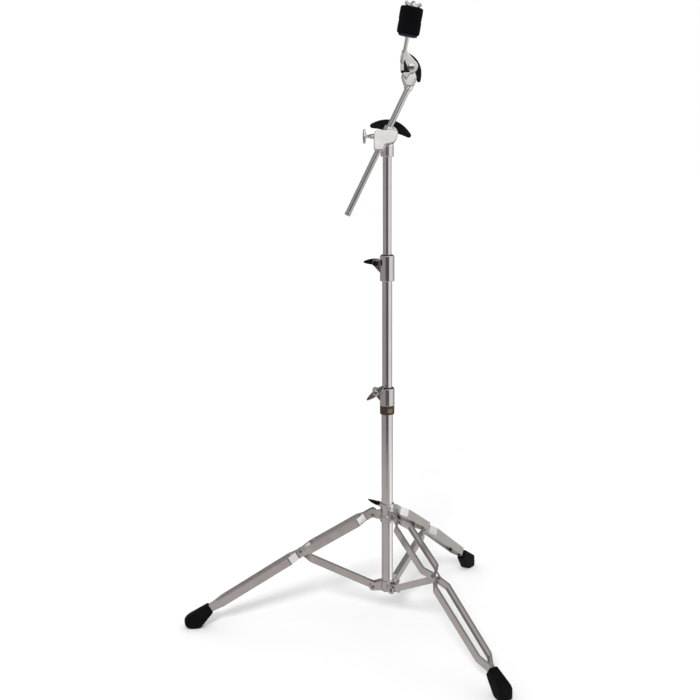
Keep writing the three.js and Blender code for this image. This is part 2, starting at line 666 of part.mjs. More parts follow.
function buildBoomClamp() {
  const { x, z } = boomPivot;
  const boss = new THREE.Shape();
  boss.moveTo(key.face + 2, 1070);
  boss.lineTo(-10, 1070);
  boss.lineTo(-4, 1082);
  boss.lineTo(12, 1085);
  boss.quadraticCurveTo(21, 1090, 21, z);
  boss.quadraticCurveTo(21, z + 7, 14, z + 8.5);
  boss.lineTo(-18, z + 8.5);
  boss.quadraticCurveTo(key.face, z + 8, key.face, z - 2);
  boss.lineTo(key.face, 1072);
  boss.closePath();
  const pocketFront = clampBack - 4 - tiltBolt.headHeight - GAP;
  const body = cut(
    join(
      bar(10.5, alongBoom(-40), alongBoom(13), ROUND),
      crossBar(washer.radius - 0.5, x, z, boom.plane + 4, clampBack, ROUND),
      uprightPlate(boss, boom.plane - 12, boom.plane + 8),
    ),
    bar(boom.radius + GAP, alongBoom(-80), alongBoom(60), ROUND),
    crossBar(tiltBolt.radius + GAP, x, z, clampBack - 6, clampBack + 5),
    crossBar(tiltBolt.headRadius + GAP, x, z, pocketFront, clampBack - 4 + GAP),
    bar(4.2, keyAxis(-60), keyAxis(rodSideAt(key.height))),
  );
  place(body, "boom_clamp", "castChrome");
  place(toothedWasher().translate([x, washerFront, z]), "boom_tilt_washer", "steel");

  const nutBase = boomDrum.half + GAP;
  const nutHub = 15;
  const stud = tiltBoltSolid(clampBack - 4, nutBase + nutHub + 5, tiltBolt.headRadius, tiltBolt.headHeight);
  place(stud.translate([x, 0, z]), "boom_tilt_stud", "chrome");

  const nut = cut(
    wingBolt({
      screw: 0, hubLength: nutHub, hubRadius: 8.5, span: 91, middle: 22, rise: 19, bow: 11.6, thickness: 8,
      screwRadius: 6,
    }),
    bar(tiltBolt.radius + GAP, new THREE.Vector3(0, 0, -2), new THREE.Vector3(0, 0, nutHub + 5)),
  );
  const mesh = place(nut, "boom_tilt_wing_nut", "blackMetal");
  mesh.position.set(x, nutBase, z);
  aimBackwards(mesh, 14.6);
  place(boomKey(), "boom_clamp_t_bolt", "chrome");
}

// Turns a wing that was drawn in X and Y so that its axis runs to the back. The angle leans its top
// to the right.
function aimBackwards(mesh, leanDegrees) {
  const lean = THREE.MathUtils.degToRad(leanDegrees);
  const across = new THREE.Vector3(-Math.cos(lean), 0, Math.sin(lean));
  const upwards = new THREE.Vector3(Math.sin(lean), 0, Math.cos(lean));
  const backwards = new THREE.Vector3(0, 1, 0);
  mesh.quaternion.setFromRotationMatrix(new THREE.Matrix4().makeBasis(across, upwards, backwards));
}

// T-handled bolt that presses on the boom from the left.
function boomKey() {
  const tip = rodSideAt(key.height) - (boom.radius + GAP) / Math.cos(boomLean) - 2.2;
  const neck = key.face - GAP;
  const shaft = turned([
    [0, -47], [3.2, -47], [3.2, -42], [5.4, neck - 4], [5.4, neck], [3.8, neck], [3.8, tip], [0, tip],
  ], SMALL_ROUND).rotate([0, 90, 0]);
  const handle = turned([
    [0, -15.5], [2.2, -15], [2.8, -12], [3.8, 0], [2.8, 12], [2.2, 15], [0, 15.5],
  ], SMALL_ROUND).translate([-48.9, 0, 0]);
  return join(shaft, handle).translate([0, boom.plane, key.height]);
}

function buildBoomRod() {
  const capLength = 9;
  const { radius, above, below } = boom;
  const onBoom = (profile) => {
    const start = alongBoom(0);
    return turned(profile, ROUND).rotate([0, boom.lean, 0]).translate([start.x, start.y, start.z]);
  };
  place(onBoom([
    [0, capLength - below], [radius, capLength - below], [radius, above - 0.8], [radius - 0.8, above],
    [0, above],
  ]), "boom_rod", "chrome");
  place(onBoom([
    [0, -below], [radius - 0.8, -below], [radius + 0.3, 1.4 - below],
    [radius + 0.3, capLength - GAP - below], [0, capLength - GAP - below],
  ]), "boom_end_cap", "chrome");
}

// ---------------------------------------------------------------- cymbal tilter and its stem

const stemLean = THREE.MathUtils.degToRad(stem.lean);
const stemDirection = new THREE.Vector3(Math.sin(stemLean), 0, Math.cos(stemLean));
const alongStem = (distance) => stemFoot.clone().addScaledVector(stemDirection, distance);

function onStem(profile, sides, shift = 0) {
  return turned(profile, sides).translate([shift, 0, 0]).rotate([0, stem.lean, 0])
    .translate([stemFoot.x, stemFoot.y, stemFoot.z]);
}

// Outline of the tilter's front plate: it joins the stem's holder on the left to the drum.
function tilterPlate() {
  const { x, z } = cymbalPivot;
  const outline = new THREE.Shape();
  outline.moveTo(26.6, 1231);
  outline.lineTo(26.6, 1264);
  outline.lineTo(30.2, 1274);
  outline.lineTo(39, 1274);
  outline.lineTo(x + 8, z + 11.5);
  outline.absarc(x, z, cymbalDrum.radius, Math.PI * 0.3, -Math.PI * 0.55, true);
  outline.lineTo(39, 1216);
  outline.closePath();
  return outline;
}

// A black wedge is let into the plate, and drawn a little smaller than its opening.
function tilterWedge(clearance) {
  return new THREE.Shape([
    new THREE.Vector2(33.6 - clearance, 1230.6 - clearance),
    new THREE.Vector2(45 + clearance * 1.6, 1230.6 - clearance),
    new THREE.Vector2(33.6 - clearance, 1256 + clearance * 2.6),
  ]);
}

function buildCymbalTilter() {
  const { x, z } = cymbalPivot;
  const { radius, front, parting, back } = cymbalDrum;
  const socketFront = parting + GAP;
  const cup = turned([
    [0, 1203], [11, 1203], [12.6, 1206], [12.2, 1208], [14.4, 1211], [14.4, 1214], [16.4, 1218],
    [16.4, 1222], [14, 1231], [0, 1231],
  ]).translate([45, boom.plane, 0]);
  const lower = cut(
    join(
      bar(9, alongBoom(97), alongBoom(123), ROUND),
      common(cup, block(60, back - socketFront, 80, x, (back + socketFront) / 2, z - 10)),
      crossBar(radius, x, z, socketFront, back, ROUND),
    ),
    bar(boom.radius + GAP, alongBoom(60), alongBoom(boom.above + GAP), ROUND),
    crossBar(tiltBolt.radius + GAP, x, z, -70, 10),
  );
  place(lower, "cymbal_tilter_socket", "castChrome");

  const screwPlace = [30.6, 1231.5];
  const upper = cut(
    join(
      uprightPlate(tilterPlate(), front, parting),
      bar(6.2, alongStem(-2), alongStem(23.5), SMALL_ROUND),
    ),
    bar(stem.radius + GAP, alongStem(stem.bottom - GAP), alongStem(40)),
    crossBar(tiltBolt.radius + GAP, x, z, -70, 10),
    uprightPlate(tilterWedge(GAP), front - 5, parting + 5),
    crossBar(1.9, ...screwPlace, front - 5, parting + 5, 12),
  );
  place(upper, "cymbal_tilter_head", "castChrome");
  place(uprightPlate(tilterWedge(0), front + 0.8, parting), "cymbal_tilter_wedge", "nylon");
  const screw = join(
    crossBar(2.9, ...screwPlace, front - GAP - 2.2, front - GAP, 16),
    crossBar(1.6, ...screwPlace, front - GAP - 1, parting, 12),
  );
  place(screw, "cymbal_tilter_screw", "blackMetal");

  const nutHub = 12;
  const bolt = tiltBoltSolid(front - GAP, back + GAP + nutHub + 4.5, 7.4, 3.4);
  place(bolt.translate([x, 0, z]), "cymbal_tilt_bolt", "chrome");
  const nut = cut(
    wingBolt({
      screw: 0, hubLength: nutHub, hubRadius: 7.6, span: 72, middle: 17, rise: 11.5, bow: 9.4, thickness: 7,
      screwRadius: 6,
    }),
    bar(tiltBolt.radius + GAP, new THREE.Vector3(0, 0, -2), new THREE.Vector3(0, 0, nutHub + 5)),
  );
  const mesh = place(nut, "cymbal_tilt_wing_nut", "blackMetal");
  mesh.position.set(x, back + GAP, z);
  aimBackwards(mesh, 61);
}

function buildStem() {
  const { radius, top, bottom } = stem;
  place(onStem([
    [0, bottom], [radius, bottom], [radius, top - 1.5], [radius - 1.5, top], [0, top],
  ], SMALL_ROUND), "cymbal_stem", "chrome");
  const seatTop = seat.bottom + seat.height;
  const hole = sleeve.outer + GAP;
  place(onStem([
    [hole, seat.bottom], [seat.radius - 3, seat.bottom], [seat.radius, seat.bottom + 1.6],
    [seat.radius, seatTop], [hole, seatTop], [hole, seat.bottom],
  ], ROUND), "cymbal_seat_washer", "nylon");
  const feltTop = seatTop + 2 * (felt.height + GAP);
  const sleeveBottom = seat.bottom + 0.5;
  place(onStem([
    [sleeve.inner, sleeveBottom], [sleeve.outer, sleeveBottom], [sleeve.outer, feltTop],
    [sleeve.inner, feltTop], [sleeve.inner, sleeveBottom],
  ], SMALL_ROUND), "stem_sleeve", "nylon");
  for (const [i, name, shift] of [[0, "lower_felt", -0.2], [1, "upper_felt", -0.9]]) {
    const start = seatTop + GAP + i * (felt.height + GAP);
    const end = start + felt.height;
    place(onStem([
      [felt.hole, start], [felt.radius - felt.edge, start], [felt.radius, start + felt.edge],
      [felt.radius, end - felt.edge], [felt.radius - felt.edge, end], [felt.hole, end], [felt.hole, start],
    ], ROUND, shift), name, "felt");
  }
  const nut = cut(
    wingNut(),
    bar(radius + GAP, new THREE.Vector3(0, 0, -5), new THREE.Vector3(0, 0, 40)),
  );
  const base = alongStem(feltTop + GAP);
  place(nut.rotate([0, stem.lean, 0]).translate([base.x, base.y, base.z]), "top_wing_nut", "chrome");
}

// Cast wing nut with two low wings, axis along Z.
function wingNut() {
  const barrel = turned([[0, 0], [9, 0], [9, 1.6], [6.6, 3], [6, 8.5], [0, 8.5]], 16);
  const outline = new THREE.Shape();
  outline.moveTo(4, 0.6);
  outline.quadraticCurveTo(10, 0.3, 14.6, 1.6);
  outline.quadraticCurveTo(19.4, 4.4, 17.6, 9);
  outline.quadraticCurveTo(14.4, 13, 10.6, 9.8);
  outline.quadraticCurveTo(8.6, 7, 4, 7);
  outline.closePath();
  const right = uprightPlate(outline, -3, 3, 4);
  return join(barrel, right, right.rotate([0, 0, 180]));
}

// ---------------------------------------------------------------- assembly

buildTubes();
buildHub();
buildLegCollar();
buildLegs();
buildLabelBand();
buildClamp("base", baseClamp, tube.base, tube.middle, { side: -1, angle: 40, look: "castChrome" });
buildClamp("middle", middleClamp, tube.middle, tube.upper, { side: 1, angle: 0, look: "blackMetal" });
buildBoomBase();
buildBoomClamp();
buildBoomRod();
buildCymbalTilter();
buildStem();

const bounds = new THREE.Box3().setFromObject(stand);
const middle = bounds.getCenter(new THREE.Vector3());
stand.position.set(-middle.x, -middle.y, -bounds.min.z);

const model = new THREE.Group();
model.add(stand);
export default model;
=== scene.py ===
"""Looks for the boom cymbal stand: polished tubes, cast fittings, pressed legs, rubber feet and felts."""
import json
import math

import bmesh
import bpy
from mathutils import Matrix, Vector


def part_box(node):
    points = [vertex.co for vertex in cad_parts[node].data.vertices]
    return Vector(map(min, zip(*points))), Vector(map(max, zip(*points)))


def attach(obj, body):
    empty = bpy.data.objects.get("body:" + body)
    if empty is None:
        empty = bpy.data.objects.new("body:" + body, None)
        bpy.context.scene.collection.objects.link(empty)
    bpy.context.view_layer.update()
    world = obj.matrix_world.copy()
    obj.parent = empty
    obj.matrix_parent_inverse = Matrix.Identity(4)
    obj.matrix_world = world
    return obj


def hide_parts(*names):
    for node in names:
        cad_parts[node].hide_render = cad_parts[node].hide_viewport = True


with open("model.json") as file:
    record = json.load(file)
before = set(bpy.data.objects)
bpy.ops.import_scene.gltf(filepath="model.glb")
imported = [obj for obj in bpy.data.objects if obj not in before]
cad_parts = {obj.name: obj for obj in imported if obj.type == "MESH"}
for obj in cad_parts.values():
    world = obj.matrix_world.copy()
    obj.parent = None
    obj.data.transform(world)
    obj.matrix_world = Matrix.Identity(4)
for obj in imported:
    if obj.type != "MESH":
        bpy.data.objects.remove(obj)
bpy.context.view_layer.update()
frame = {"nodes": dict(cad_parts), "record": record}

NODES = frame["nodes"]
RECORD = frame["record"]
BODY_OF = {node: body for body, members in RECORD["behaviour"]["bodies"].items() for node in members}
SLOT_OF = {part["node"]: part["material_slot"] for part in RECORD["subparts"]}

# Sizes of shapes are millimetres, heights start at the floor, and angles are degrees until made radians.
MM = 0.001
low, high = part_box("base_tube")
AXIS = Vector(((low.x + high.x) / 2, (low.y + high.y) / 2, 0))
LEGS = {"left": 180, "front": 300, "back": 60}


def at(x, y, z):
    """A point given in millimetres from the foot of the main tube's axis."""
    return AXIS + Vector((x, y, z)) * MM


# ---------------------------------------------------------------- shader nodes


def new_material(name, color, roughness, metallic=0.0):
    """A material and its shader. The colour and roughness hold until a node is joined to them."""
    material = bpy.data.materials.new(name)
    material.use_nodes = True
    shader = material.node_tree.nodes["Principled BSDF"]
    shader.inputs["Base Color"].default_value = (*color, 1)
    shader.inputs["Roughness"].default_value = roughness
    shader.inputs["Metallic"].default_value = metallic
    return material, shader


def add_node(owner, kind, **settings):
    """A node in a material or in the world. A setting is an input's value or one of the node's own."""
    node = owner.node_tree.nodes.new(kind)
    for key, value in settings.items():
        if key in node.inputs:
            node.inputs[key].default_value = value
        else:
            setattr(node, key, value)
    return node


def feed(owner, socket, value):
    """Gives a socket a number, a colour or another node's output."""
    if isinstance(value, bpy.types.NodeSocket):
        owner.node_tree.links.new(value, socket)
    elif isinstance(value, tuple):
        socket.default_value = (*value, 1)
    else:
        socket.default_value = value


def feed_all(owner, node, values):
    """Feeds several inputs of a node, by name."""
    for name, value in values.items():
        feed(owner, node.inputs[name], value)


def compute(owner, operation, *values):
    """The result of one step of arithmetic on numbers or other nodes' outputs."""
    node = add_node(owner, "ShaderNodeMath", operation=operation)
    for socket, value in zip(node.inputs, values):
        feed(owner, socket, value)
    return node.outputs[0]


def mix(owner, factor, first, second):
    """A colour between two others: the first at factor 0, the second at factor 1."""
    node = add_node(owner, "ShaderNodeMix", data_type="RGBA")
    feed_all(owner, node, {"Factor": factor, "A": first, "B": second})
    return node.outputs["Result"]


def axes(owner, space):
    """The X, Y and Z of the place that is shaded, in one of the coordinate spaces."""
    place = add_node(owner, "ShaderNodeTexCoord")
    split = add_node(owner, "ShaderNodeSeparateXYZ")
    feed(owner, split.inputs["Vector"], place.outputs[space])
    return split.outputs


def noise(material, scale, detail=3.0, roughness=0.5, stretch=(1, 1, 1)):
    """Noise in the object's own space, stretched along an axis if asked."""
    place = add_node(material, "ShaderNodeTexCoord")
    mapping = add_node(material, "ShaderNodeMapping", Scale=stretch)
    texture = add_node(material, "ShaderNodeTexNoise", Scale=scale, Detail=detail, Roughness=roughness)
    feed(material, mapping.inputs["Vector"], place.outputs["Object"])
    feed(material, texture.inputs["Vector"], mapping.outputs["Vector"])
    return texture.outputs["Fac"]


def remap(owner, value, low_out, high_out, low_in=0.3, high_in=0.7, curve="LINEAR"):
    """A value stretched from one range to another and held at its ends."""
    node = add_node(owner, "ShaderNodeMapRange", interpolation_type=curve)
    feed_all(owner, node, {
        "Value": value, "From Min": low_in, "From Max": high_in, "To Min": low_out, "To Max": high_out,
    })
    return node.outputs["Result"]


def ramp(owner, value, stops):
    """A colour that follows a value, from (position, colour) stops."""
    node = add_node(owner, "ShaderNodeValToRGB")
    elements = node.color_ramp.elements
    while len(elements) < len(stops):
        elements.new(0.5)
    for element, (position, color) in zip(elements, stops):
        element.position = position
        element.color = (*color, 1)
    feed(owner, node.inputs["Fac"], value)
    return node.outputs["Color"]


def bump(material, shader, height, strength, distance, after=None):
    """Relief on a shader, on top of an earlier relief if there is one."""
    node = add_node(material, "ShaderNodeBump", Strength=strength, Distance=distance)
    feed(material, node.inputs["Height"], height)
    if after is not None:
        feed(material, node.inputs["Normal"], after)
    feed(material, shader.inputs["Normal"], node.outputs["Normal"])
    return node.outputs["Normal"]


# ---------------------------------------------------------------- materials


def plated(name, tint, smooth, dull, wave):
    """Bright plating: faint smears in the gloss, a slight waviness and a hint of tint."""
    material, shader = new_material(name, tint, dull, 1.0)
    smear = noise(material, 55, 5, 0.6)
    darker = tuple(c * 0.93 for c in tint)
    feed_all(material, shader, {
        "Roughness": remap(material, smear, smooth, dull),
        "Base Color": ramp(material, noise(material, 24, 2), [(0.35, darker), (0.65, tint)]),
    })
    ripple = bump(material, shader, noise(material, 34, 2), wave, 0.0008)
    bump(material, shader, noise(material, 900, 2), wave * 0.3, 0.00005, ripple)
    return material


def make_felt():
    """Pressed felt: almost black, with fibres and soft clumps."""
    material, shader = new_material("pressed_felt", (0.004, 0.004, 0.005), 0.95)
    fibre = noise(material, 700, 6, 0.7)
    feed_all(material, shader, {
        "Base Color": ramp(material, fibre, [
            (0.3, (0.0015, 0.0015, 0.002)), (0.6, (0.0035, 0.0035, 0.0048)), (0.85, (0.010, 0.010, 0.0125)),
        ]),
        "Sheen Weight": 0.012,
        "Sheen Roughness": 0.6,
        "Specular IOR Level": 0.02,
    })
    clumps = bump(material, shader, noise(material, 160, 4, 0.6), 0.5, 0.0006)
    bump(material, shader, fibre, 0.7, 0.0003, clumps)
    return material


def make_rubber():
    """Moulded rubber: black, with a little dust and a fine grain."""
    material, shader = new_material("moulded_rubber", (0.010, 0.010, 0.011), 0.6)
    dust = noise(material, 60, 5, 0.65)
    feed_all(material, shader, {
        "Base Color": ramp(material, dust, [
            (0.35, (0.0018, 0.0018, 0.002)), (0.75, (0.0055, 0.0052, 0.005)),
        ]),
        "Roughness": remap(material, dust, 0.45, 0.65),
        "Specular IOR Level": 0.08,
    })
    bump(material, shader, noise(material, 1400, 3), 0.25, 0.0002)
    return material


def make_nylon():
    """Moulded nylon: black and fairly smooth."""
    material, shader = new_material("moulded_nylon", (0.012, 0.012, 0.013), 0.45)
    grain = noise(material, 420, 3)
    feed_all(material, shader, {
        "Base Color": ramp(material, grain, [(0.3, (0.004, 0.004, 0.0045)), (0.7, (0.009, 0.009, 0.0095))]),
        "Roughness": remap(material, grain, 0.36, 0.5),
        "Specular IOR Level": 0.2,
    })
    bump(material, shader, grain, 0.15, 0.0002)
    return material


def make_black_metal():
    """Black enamel on cast metal: glossy, with the texture of paint and light wear."""
    material, shader = new_material("black_enamel", (0.006, 0.006, 0.007), 0.2)
    orange_peel = noise(material, 260, 3)
    wear = noise(material, 70, 5, 0.7)
    feed_all(material, shader, {
        "Base Color": ramp(material, wear, [(0.4, (0.0012, 0.0012, 0.0015)), (0.8, (0.005, 0.0047, 0.0047))]),
        "Roughness": remap(material, wear, 0.16, 0.3),
        "Specular IOR Level": 0.3,
        "Coat Weight": 0.1,
        "Coat Roughness": 0.08,
    })
    bump(material, shader, orange_peel, 0.12, 0.0003)
    return material


PANEL_MIDDLE = (5.8, -16, 503.5)
PANEL_HALF = (5.2, 12, 4.6)


def make_label():
    """Dark band with a plain gold panel that faces the front, and no lettering."""
    material, shader = new_material("label_band", (0.02, 0.015, 0.012), 0.35)
    brush = noise(material, 500, 4, 0.6, (0.15, 0.15, 3))
    dark = ramp(material, brush, [(0.3, (0.016, 0.011, 0.009)), (0.7, (0.035, 0.024, 0.017))])
    gold = ramp(material, brush, [(0.3, (0.07, 0.04, 0.017)), (0.7, (0.2, 0.145, 0.07))])
    panel = 1.0
    for output, middle, reach in zip(axes(material, "Object"), at(*PANEL_MIDDLE), Vector(PANEL_HALF) * MM):
        offset = compute(material, "ABSOLUTE", compute(material, "SUBTRACT", output, middle))
        panel = compute(material, "MULTIPLY", panel, compute(material, "LESS_THAN", offset, reach))
    feed_all(material, shader, {
        "Base Color": mix(material, panel, dark, gold),
        "Roughness": remap(material, brush, 0.25, 0.4),
    })
    return material


MATERIALS = {
    "satin_chrome": plated("satin_chrome", (0.84, 0.83, 0.825), 0.12, 0.2, 0.12),
    "rivet": plated("dull_rivet", (0.42, 0.39, 0.385), 0.16, 0.28, 0.1),
    "chrome": plated("polished_chrome", (0.80, 0.785, 0.78), 0.045, 0.11, 0.05),
    "cast_chrome": plated("cast_chrome", (0.76, 0.745, 0.74), 0.07, 0.16, 0.16),
    "leg_steel": plated("plated_steel", (0.78, 0.755, 0.745), 0.12, 0.2, 0.12),
    "black_metal": make_black_metal(),
    "rubber": make_rubber(),
    "felt": make_felt(),
    "nylon": make_nylon(),
    "label": make_label(),
}

# ---------------------------------------------------------------- mesh helpers


def as_mesh(bm, name):
    """A new mesh from a bmesh, which is freed."""
    mesh = bpy.data.meshes.new(name)
    bm.to_mesh(mesh)
    bm.free()
    return mesh


def with_modifiers(mesh, *settings):
    """The mesh after a stack of modifiers, each given as its kind and its values."""
    holder = bpy.data.objects.new("holder", mesh)
    bpy.context.scene.collection.objects.link(holder)
    for kind, values in settings:
        modifier = holder.modifiers.new(kind, kind)
        for key, value in values.items():
            setattr(modifier, key, value)
    graph = bpy.context.evaluated_depsgraph_get()
    result = bpy.data.meshes.new_from_object(holder.evaluated_get(graph))
    bpy.data.objects.remove(holder)
    return result


def softened(mesh, voxel, passes):
    """The mesh rebuilt from small cells, then smoothed, so that its edges are rounded."""
    remesh = {"mode": "VOXEL", "voxel_size": voxel * MM, "adaptivity": 0.0, "use_smooth_shade": True}
    return with_modifiers(mesh, ("REMESH", remesh), ("SMOOTH", {"factor": 0.5, "iterations": passes}))


def dress(node, mesh, angle=35, look=None):
    """Adds a mesh that stands for a CAD node and moves with its body. Flat faces stay flat in the shading."""
    mesh.shade_smooth()
    mesh.set_sharp_from_angle(angle=math.radians(angle))
    mesh = with_modifiers(mesh, ("WEIGHTED_NORMAL", {"mode": "FACE_AREA", "weight": 50, "keep_sharp": True}))
    slot = SLOT_OF[node]
    mesh.materials.clear()
    mesh.materials.append(MATERIALS[look or slot])
    piece = bpy.data.objects.new(node + "_detail", mesh)
    bpy.context.scene.collection.objects.link(piece)
    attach(piece, BODY_OF[node])
    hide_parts(node)
    return piece


def welded(node, whole_faces=False):
    """A copy of a CAD node's mesh with its corners joined and, if asked, its flat faces made whole."""
    bm = bmesh.new()
    bm.from_mesh(NODES[node].data)
    bmesh.ops.remove_doubles(bm, verts=bm.verts, dist=0.002 * MM)
    if whole_faces:
        bmesh.ops.dissolve_limit(bm, angle_limit=math.radians(0.6), verts=bm.verts, edges=bm.edges)
    return as_mesh(bm, node)


def pressed(node, width):
    """Sheet metal and nuts: crisp shapes with small rounded edges."""
    bevel = {
        "width": width * MM,
        "segments": 3,
        "limit_method": "ANGLE",
        "angle_limit": math.radians(24),
        "harden_normals": False,
        "use_clamp_overlap": True,
        "miter_outer": "MITER_ARC",
    }
    dress(node, with_modifiers(welded(node, whole_faces=True), ("BEVEL", bevel)), 40)


def cast(node, voxel, passes, look=None, lean=0.0):
    """Castings: every edge and inner corner is softly rounded. The front leans back, by lean per height."""
    mesh = softened(welded(node), voxel, passes)
    if lean:
        corner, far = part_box(node)
        for vertex in mesh.vertices:
            depth = (far.y - vertex.co.y) / (far.y - corner.y)
            vertex.co.y += lean * (vertex.co.z - corner.z) * depth
    dress(node, mesh, 80, look)


BOOT_CELL = 1.3
BOOT_PASSES = 34


def boot(node):
    """Rubber boot: the outer shape of its CAD node with well rounded edges, at the full size."""
    bm = bmesh.new()
    bm.from_mesh(NODES[node].data)
    hull = bmesh.ops.convex_hull(bm, input=bm.verts)
    left_over = hull["geom_interior"] + hull["geom_unused"]
    inner = {item for item in left_over if isinstance(item, bmesh.types.BMVert)}
    bmesh.ops.delete(bm, geom=list(inner), context="VERTS")
    mesh = softened(as_mesh(bm, node), BOOT_CELL, BOOT_PASSES)
    corner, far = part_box(node)
    for i in range(3):
        low_end = min(v.co[i] for v in mesh.vertices)
        high_end = max(v.co[i] for v in mesh.vertices)
        scale = (far[i] - corner[i]) / (high_end - low_end)
        for vertex in mesh.vertices:
            vertex.co[i] = corner[i] + (vertex.co[i] - low_end) * scale
    dress(node, mesh, 80)


def rounded(points, radius, steps=4):
    """Rounds the corners of a closed or open profile of (radius, height) pairs, in millimetres."""
    closed = points[0] == points[-1]
    line = [Vector(p) for p in (points[:-1] if closed else points)]
    result = []
    for i, corner in enumerate(line):
        if not closed and i in (0, len(line) - 1):
            result.append(tuple(corner))
            continue
        before, after = line[i - 1], line[(i + 1) % len(line)]
        reach = min(radius, (before - corner).length * 0.45, (after - corner).length * 0.45)
        start = corner + (before - corner).normalized() * reach
        end = corner + (after - corner).normalized() * reach
        for k in range(steps + 1):
            t = k / steps
            result.append(tuple(start * (1 - t) ** 2 + corner * 2 * t * (1 - t) + end * t**2))
    if closed:
        result.append(result[0])
    return result


def lathe(profile, origin, axis=(0, 0, 1), segments=96, shift=0.0):
    """A turned mesh from (radius, height) pairs, about an axis through origin and shifted across it."""
    bm = bmesh.new()
    closed = profile[0] == profile[-1]
    points = profile[:-1] if closed else profile
    turns = [2 * math.pi * k / segments for k in range(segments)]
    rings = []
    for radius, height in points:
        if radius == 0:
            rings.append([bm.verts.new((shift * MM, 0, height * MM))])
            continue
        across = radius * MM
        rings.append([
            bm.verts.new((across * math.cos(turn) + shift * MM, across * math.sin(turn), height * MM))
            for turn in turns
        ])
    pairs = list(zip(rings, rings[1:]))
    if closed:
        pairs.append((rings[-1], rings[0]))
    for lower, upper in pairs:
        for k in range(segments):
            n = (k + 1) % segments
            corners = [(lower, k), (lower, n), (upper, n), (upper, k)]
            unique = list(dict.fromkeys(ring[i % len(ring)] for ring, i in corners))
            if len(unique) > 2:
                bm.faces.new(unique)
    bmesh.ops.recalc_face_normals(bm, faces=bm.faces)
    turn = Vector((0, 0, 1)).rotation_difference(Vector(axis)).to_matrix().to_4x4()
    bm.transform(Matrix.Translation(origin) @ turn)
    return as_mesh(bm, "turned")


def pipe(outer, inner, bottom, top, edge=0.35):
    """Profile of a tube with slightly rounded ends."""
    profile = [(inner, bottom), (outer, bottom), (outer, top), (inner, top), (inner, bottom)]
    return rounded(profile, edge)


def thread(radius, bottom, top, pitch=1.25, depth=0.55):
    """Profile points of a threaded length, from bottom to top."""
    root = radius - depth
    count = int((top - bottom) / pitch)
    points = []
    for i in range(count):
        z = bottom + i * pitch
        points += [(root, z), (radius, z + pitch * 0.5)]
    return points + [(root, bottom + count * pitch)]


# ---------------------------------------------------------------- tubes

TUBES = {  # outer radius, inner radius, lower end, upper end
    "base_tube": (12.7, 11.5, 91, 532),
    "middle_tube": (11.1, 9.9, 392, 824),
    "upper_tube": (9.525, 8.325, 632, 1070),
}
for node, sizes in TUBES.items():
    dress(node, lathe(pipe(*sizes), AXIS))

BAND_BORE = 13.1
BAND_RADIUS = 16.05
BAND_LOW = 494
BAND_HIGH = 512.95
LOW_CHAMFER = 1.15  # across, and a little more along the tube
HIGH_CHAMFER = 0.45
band_profile = [
    (BAND_BORE, BAND_LOW), (BAND_RADIUS - LOW_CHAMFER, BAND_LOW), (BAND_RADIUS, BAND_LOW + 1.2),
    (BAND_RADIUS, BAND_HIGH - 0.55), (BAND_RADIUS - HIGH_CHAMFER, BAND_HIGH), (BAND_BORE, BAND_HIGH),
    (BAND_BORE, BAND_LOW),
]
dress("label_band", lathe(rounded(band_profile, 0.5), AXIS))

# ---------------------------------------------------------------- legs

STRIP_EDGE = 0.45
STRUT_EDGE = 0.4
RIVETS = {  # distance from the main tube's axis, height, half the length between the heads
    "collar": (32.5, 264, 7.55),
    "joint": (195, 179.75, 7.55),
    "hub": (32.5, 95.5, 10.95),
}


def rivet(node, azimuth, distance, height, half):
    """Rivet across a leg, with a domed and dimpled head at each end."""
    end = half + 1.8
    head = [
        (2.3, half), (4.3, half), (4.4, half + 0.5), (3.9, half + 1.3), (2.6, half + 1.7), (1.4, end),
        (1.0, end - 0.5), (0, end - 0.7),
    ]
    profile = [(radius, -place) for radius, place in reversed(head)] + head
    turn = math.radians(azimuth)
    origin = at(distance * math.cos(turn), distance * math.sin(turn), height)
    across = (-math.sin(turn), math.cos(turn), 0)
    dress(node, lathe(profile, origin, across, 40), look="rivet")


for name, azimuth in LEGS.items():
    for side in "ab":
        pressed(f"{name}_leg_strip_{side}", STRIP_EDGE)
    pressed(f"{name}_strut", STRUT_EDGE)
    for kind, place in RIVETS.items():
        rivet(f"{name}_{kind}_rivet", azimuth, *place)
    boot(f"{name}_rubber_foot")

# ---------------------------------------------------------------- castings and small parts

CASTINGS = {  # cell size, smoothing passes, look if it isn't the slot's own, lean of the front
    "lower_hub": (0.45, 7),
    "leg_collar": (0.45, 7),
    "base_clamp_collar": (0.45, 7),
    "middle_clamp_collar": (0.45, 7),
    "boom_base": (0.6, 16, "satin_chrome"),
    "boom_clamp": (0.6, 26, "satin_chrome", 0.08),
    "cymbal_tilter_socket": (0.5, 16, "satin_chrome", 0.045),
    "cymbal_tilter_head": (0.5, 18, "satin_chrome", 0.038),
    "top_wing_nut": (0.4, 10),
    "boom_clamp_t_bolt": (0.45, 7),
    "leg_collar_wing_bolt": (0.45, 10),
    "base_clamp_wing_bolt": (0.45, 12),
    "middle_clamp_wing_bolt": (0.45, 12),
    "boom_tilt_wing_nut": (0.5, 16),
    "cymbal_tilt_wing_nut": (0.5, 14),
}
for node, settings in CASTINGS.items():
    cast(node, *settings)

SMALL_EDGE = 0.3
SMALL_PARTS = (
    "base_clamp_nut", "middle_clamp_nut", "boom_tilt_washer", "cymbal_tilter_wedge", "base_clamp_bush",
    "middle_clamp_bush", "tube_end_plug", "cymbal_tilter_screw",
)
for node in SMALL_PARTS:
    pressed(node, SMALL_EDGE)

# ---------------------------------------------------------------- boom


def leaning(degrees):
    """Direction that leans from upright towards +X."""
    return (math.sin(math.radians(degrees)), 0, math.cos(math.radians(degrees)))


